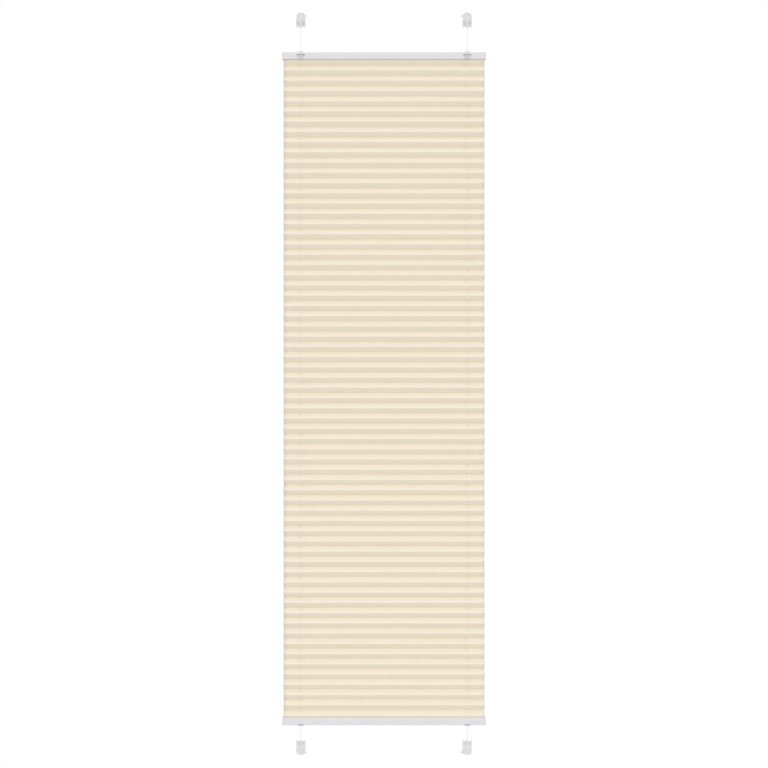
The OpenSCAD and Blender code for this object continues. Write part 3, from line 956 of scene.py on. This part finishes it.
@dataclass
class RailUnit:
    """A rail with its end caps, cord guides, batten and crossing cords.

    In the rail's own frame the cord's plane is y = 0, the outer face is z = 0 and the cloth is below it.
    """

    end: End
    wall: float = 1.2 * MM
    web: float = 1.0 * MM
    cord_channel: float = 7.3 * MM
    batten_corner: float = 0.45 * MM
    lip_slot: float = 10.0 * MM
    lip_edge: float = 0.3 * MM
    lip_steps: int = 3
    outer_corner: float = 0.8 * MM
    cloth_corner: float = 3.0 * MM
    window_width: float = 17.6 * MM
    window_height: float = 4.4 * MM
    window_top: float = 4.0 * MM
    metal_hard_deg: float = 25.0
    cap_over: float = 0.4 * MM
    cap_edge: float = 0.7 * MM
    cap_edge_steps: int = 6
    cap_cloth_edge: float = 1.8 * MM
    cap_cloth_share: float = 0.3
    cap_hard_deg: float = 40.0
    plug_length: float = 9.0 * MM
    plug_wall: float = 1.3 * MM
    plug_clear: float = 0.2 * MM
    plug_corner: float = 0.5 * MM

    def __post_init__(self) -> None:
        """Takes the rail's places from the frame."""
        low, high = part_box(f"{self.end.label}_rail")
        self.length, self.depth, self.height = high - low
        self.origin = np.array([0.0, (low.y + high.y) / 2, high.z if self.end is End.TOP else low.z])
        self.cord_x = np.mean(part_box("right_cord"), axis=0)[0]
        self.cap_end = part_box(f"{self.end.label}_right_end_cap")[1].x

    def placed(self, points: Array) -> Array:
        """Puts points of the rail's own frame into the part's frame, turned half round Y at the bottom."""
        return self.origin + points * np.array([self.end.value, 1.0, self.end.value])

    def carried(self, outline: Array, x: Array) -> Array:
        """Carries a (y, z) outline along X.

        Args:
            outline: Points of shape (points, 2).
            x: Places along X.

        Returns:
            Placed points of shape (places, points, 3).
        """
        return self.placed(np.stack([at_x(place, outline) for place in x]))

    def outline(self, grow: float = 0.0) -> Array:
        """The rail's outer outline in (y, z), closed over the slot.

        Args:
            grow: How far outside the rail it lies.

        Returns:
            The outline's points, one row each.
        """
        half = self.depth / 2 + grow
        return rounded_box((-half, -self.height - grow), (half, grow), self.outer_corner + grow,
                           self.cloth_corner + grow)

    def section(self) -> tuple[Array, Array]:
        """The metal's section in (y, z): an outline that runs into the batten channel, and the cord channel.

        Returns:
            The outline and the cord channel's hole.
        """
        half, room, slot = self.depth / 2, self.depth / 2 - self.wall, self.lip_slot / 2
        lip, edge = self.wall - self.height, self.lip_edge
        channel_end = -self.wall - self.cord_channel
        batten_top = channel_end - self.web
        window = [(-half, -self.window_top), (-half, -self.window_top - self.window_height)]
        outer = self.outline()
        corner = len(outer) // 4
        upper, lower_front, lower_back = outer[:2 * corner], outer[2 * corner:3 * corner], outer[3 * corner:]
        channel = rounded_box((-room, lip), (room, batten_top), self.batten_corner,
                              self.cloth_corner - self.wall)
        outline = np.concatenate([
            arc((slot + edge, edge - self.height), edge, 180, 270, self.lip_steps),
            lower_back, upper, window, lower_front,
            arc((-slot - edge, edge - self.height), edge, 270, 360, self.lip_steps), [(-slot, lip)],
            channel[2 * corner:3 * corner][::-1], channel[corner:2 * corner][::-1],
            channel[:corner][::-1], channel[3 * corner:][::-1], [(slot, lip)]])
        hole = np.array([(room, -self.wall), (-room, -self.wall), (-room, window[0][1]),
                         (-room, window[1][1]), (-room, channel_end), (room, channel_end)])
        return outline, hole

    def build_metal(self) -> None:
        """Carries the section along X and leaves out the wall at the top rail's two windows."""
        outline, hole = self.section()
        reach = self.window_width / 2
        x = np.array([-self.length / 2, -self.cord_x - reach, -self.cord_x + reach,
                      self.cord_x - reach, self.cord_x + reach, self.length / 2])
        in_window_x = np.array([False, True, False, True, False]) & (self.end is End.TOP)
        metal = Surface()
        openings = []
        for loop in (outline, hole):
            level = np.isclose(loop[:, 1], -self.window_top) & (loop[:, 0] < 0)
            here = int(np.flatnonzero(level)[0])
            keep = np.ones((len(x) - 1, len(loop)), bool)
            keep[in_window_x, here] = False
            skin = self.carried(loop, x)
            metal.add_grid(skin, wrap=True, keep=keep)
            openings.append(skin[:, here:here + 2])
        for row in np.flatnonzero(in_window_x):
            rims = [np.concatenate([skin[row], skin[row + 1][::-1]]) for skin in openings]
            metal.add_grid(np.stack(rims), wrap=True)
        for place in (0, -1):
            metal.add_fill(*(self.carried(loop, x)[place] for loop in (outline, hole)))
        piece = metal.make(f"{self.end.label}_rail_extrusion", self.metal_hard_deg)
        settle(piece, RAIL_COAT, Slot.RAIL, self.end.body, f"{self.end.label}_rail")

    def build_cap(self, side: Side) -> None:
        """Makes an end cap: a flange with rounded edges and a hollow plug.

        The flange stands out a little past the rail, and its edge is rounder in the share nearest the cloth.
        With r as the edge's radius and a from 0 to 90 degrees, the edge lies r (1 - cos a) inside the
        flange's outline and r (1 - sin a) short of the cap's end.

        Args:
            side: Which end of the rail, as the part's frame has it.
        """
        direction = side.value * self.end.value
        outline = self.outline(self.cap_over)
        toward_cloth = smoothstep((self.cap_cloth_share - 1.0) * self.height, -self.height, outline[:, 1])
        radius = self.cap_edge + (self.cap_cloth_edge - self.cap_edge) * toward_cloth
        angle = np.radians(np.linspace(0.0, 90.0, self.cap_edge_steps + 1))[:, None]
        inset = radius * (1.0 - np.cos(angle))
        x = self.cap_end - radius * (1.0 - np.sin(angle))
        edge = outline + inset[..., None] * inward(outline)
        rounded = np.concatenate([x[..., None], edge], axis=-1)
        root = at_x(self.length / 2, outline)
        cap = Surface()
        cap.add_bar(self.placed(np.concatenate([root[None], rounded]) * [direction, 1.0, 1.0]))
        self.add_plug(cap, direction)
        name = f"{self.end.label}_{side.label}"
        piece = cap.make(f"{name}_moulded_cap", self.cap_hard_deg)
        settle(piece, CAP_PLASTIC, Slot.CAP, self.end.body, f"{name}_end_cap")

    def add_plug(self, cap: Surface, direction: int) -> None:
        """Adds the cap's plug: a box tube in the cord channel, closed as a ring of four loops.

        Args:
            cap: The surface to add to.
            direction: The sign of X in the rail's own frame.
        """
        half = self.depth / 2 - self.wall - self.plug_clear
        top, low = -self.wall - self.plug_clear, -self.wall - self.cord_channel + self.plug_clear
        near, far = self.length / 2, self.length / 2 - self.plug_length
        loops = []
        for inset, x in ((0.0, near), (0.0, far), (self.plug_wall, far), (self.plug_wall, near), (0.0, near)):
            box = rounded_box((inset - half, low + inset), (half - inset, top - inset), self.plug_corner,
                              self.plug_corner)
            loops.append(at_x(direction * x, box))
        cap.add_grid(self.placed(np.stack(loops)), wrap=True)

    def build(self) -> None:
        """Makes the rail, its caps and its guides, and dresses what stays hidden in it."""
        label = self.end.label
        self.build_metal()
        for side in Side:
            self.build_cap(side)
            # The guides take the grey that carries painted shade for the rail's windows.
            SoftenedCopy(f"{label}_{side.label}_cord_guide", GUIDE_PLASTIC_AND_WINDOW_SHADE, Slot.GUIDE, self.end.body).build()
        WHITE_PLASTIC.dress(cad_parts[f"{label}_batten"])
        for face in ("front", "back"):
            PLAIN_CORD.dress(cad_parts[f"{label}_{face}_cross_cord"])


@dataclass
class SoftenedCopy:
    """A copy of a solid whose hard edges are rounded, as a mould leaves them."""

    node: str
    finish: Finish
    slot: Slot
    body: Body = Body.FIXINGS
    edge: float = 0.2 * MM
    edge_steps: int = 2
    hard_deg: float = 32.0
    flat_deg: float = 0.4

    def build(self) -> None:
        """Copies the node's mesh, joins its triangles into convex flat faces and bevels its sharp edges."""
        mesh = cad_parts[self.node].data.copy()
        mesh.attributes.remove(mesh.attributes["custom_normal"])
        weld(mesh)
        work = bmesh.new()
        work.from_mesh(mesh)
        bmesh.ops.dissolve_limit(work, angle_limit=math.radians(self.flat_deg), verts=work.verts,
                                 edges=work.edges)
        bmesh.ops.connect_verts_concave(work, faces=work.faces)
        work.to_mesh(mesh)
        work.free()
        piece = smooth_object(f"{self.node}_moulding", mesh, self.hard_deg)
        bevel = piece.modifiers.new("soft_edges", "BEVEL")
        bevel.width = self.edge
        bevel.segments = self.edge_steps
        bevel.limit_method = "ANGLE"
        bevel.angle_limit = math.radians(self.hard_deg)
        bevel.harden_normals = True
        settle(piece, self.finish, self.slot, self.body, self.node)


@dataclass
class TensionShoe:
    """A shoe that holds one end of a cord, with its fixing plate and cord stop.

    The nozzle drops past the shoe's feet. The web's heights run from the feet towards the arch, and its
    depths forward from the mounting plane.
    """

    end: End
    side: Side
    cover_edge: float = 0.3 * MM
    nozzle_drop: float = 2.5 * MM
    web_half: float = 7.4 * MM
    web_low: float = 0.4 * MM
    web_high: float = 5.7 * MM
    web_back: float = 9.1 * MM
    web_front: float = 10.3 * MM
    web_low_edge: float = 0.4 * MM
    web_high_edge: float = 0.2 * MM

    def build_web(self, node: str) -> None:
        """Makes the thin web that closes the gap between the feet and the nozzle.

        Args:
            node: The shoe's node.
        """
        low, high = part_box(node)
        feet = low.z + self.nozzle_drop if self.end is End.TOP else high.z - self.nozzle_drop
        outline = rounded_box((-self.web_front, self.web_low), (-self.web_back, self.web_high),
                              self.web_high_edge, self.web_low_edge)
        outline[:, 1] = feet + self.end.value * outline[:, 1]
        centre = (low.x + high.x) / 2
        web = Surface()
        web.add_bar(np.stack([at_x(centre + side.value * self.web_half, outline) for side in Side]))
        settle(web.make(f"{node}_web"), SHOE_PLASTIC, Slot.SHOE, Body.FIXINGS, node)

    def build(self) -> None:
        """Makes the cover, its web and the plate, and dresses the stop inside."""
        name = f"{self.end.label}_{self.side.label}"
        self.build_web(f"{name}_shoe")
        SoftenedCopy(f"{name}_shoe", SHOE_PLASTIC, Slot.SHOE, edge=self.cover_edge).build()
        SoftenedCopy(f"{name}_fixing_plate", WHITE_PLASTIC, Slot.PLATE).build()
        WHITE_PLASTIC.dress(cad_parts[f"{name}_cord_stop"])


@dataclass
class Studio:
    """Camera, soft light and a pale floor that lies below the camera's view."""

    eye: tuple[float, float, float] = (0.0, -5.487, -0.8047)
    lens_mm: float = 116.1
    sensor_mm: float = 36.0
    floor_z: float = -2.0
    floor_radius: float = 2.2
    floor_steps: int = 96
    level_light: float = 0.856
    light_from_above: float = 0.1
    sun_from: tuple[float, float, float] = (0.25, -1.0, 0.67)
    sun_strength: float = 0.54
    sun_spread_deg: float = 30.0

    def build(self) -> None:
        """Sets up everything that isn't part of the object."""
        self.build_camera()
        self.build_world()
        self.build_sun()
        self.build_floor()
        bpy.context.scene.view_settings.view_transform = "Standard"

    def build_camera(self) -> None:
        """A long lens, level, straight in front of the blind's middle."""
        camera = bpy.data.cameras.new("camera")
        camera.lens = self.lens_mm
        camera.sensor_width = self.sensor_mm
        view = bpy.data.objects.new("camera", camera)
        view.location = self.eye
        view.rotation_euler = (math.pi / 2, 0.0, 0.0)
        bpy.context.scene.collection.objects.link(view)
        bpy.context.scene.camera = view

    def build_world(self) -> None:
        """A surround that lights more from above than from below, and that looks plain white.

        Its light is level + above * z, where z is the height of the direction that it comes from.
        """
        world = bpy.data.worlds.new("white_surround")
        world.use_nodes = True
        graph = Graph(world.node_tree)
        direction = graph.axes(graph.node("TexCoord").outputs["Generated"])
        light = graph.math("MULTIPLY_ADD", direction["Z"], self.light_from_above, self.level_light)
        lit = graph.wire(world.node_tree.nodes["Background"], Color=WHITE, Strength=light)
        plain = graph.wire(graph.node("Background"), Color=WHITE)
        rays = graph.node("LightPath").outputs
        seen = graph.math("MAXIMUM", rays["Is Camera Ray"], rays["Is Glossy Ray"])
        seen = graph.math("MAXIMUM", seen, rays["Is Transmission Ray"])
        mixed = graph.node("MixShader")
        for source, target in zip((seen, lit[0], plain[0]), mixed.inputs):
            graph.feed(source, target)
        graph.wire(world.node_tree.nodes["World Output"], Surface=mixed.outputs[0])
        bpy.context.scene.world = world

    def build_sun(self) -> None:
        """A soft lamp from above and in front, as bright at the bottom shoes as at the top ones."""
        lamp = bpy.data.lights.new("soft_sun", "SUN")
        lamp.energy = self.sun_strength
        lamp.angle = math.radians(self.sun_spread_deg)
        sun = bpy.data.objects.new("soft_sun", lamp)
        sun.rotation_euler = Vector(self.sun_from).to_track_quat("Z", "Y").to_euler()
        bpy.context.scene.collection.objects.link(sun)

    def build_floor(self) -> None:
        """A round pale floor that sends light up to the bottom rail."""
        turn = np.linspace(0.0, 2.0 * math.pi, self.floor_steps, endpoint=False)
        rim = self.floor_radius * np.stack([np.cos(turn), np.sin(turn), np.zeros_like(turn)], axis=1)
        disc = Surface()
        disc.add_fill(rim + [0.0, 0.0, self.floor_z])
        floor = disc.make("floor")
        PALE_FLOOR.dress(floor)


def main() -> None:
    """Builds every sub-assembly in order."""
    logging.basicConfig(level=logging.INFO, format="%(name)s: %(message)s")
    Studio().build()
    PleatedCloth().build()
    for side in Side:
        CordLine(side).build()
    for end in End:
        RailUnit(end).build()
        for side in Side:
            TensionShoe(end, side).build()


if __name__ == "__main__":
    main()
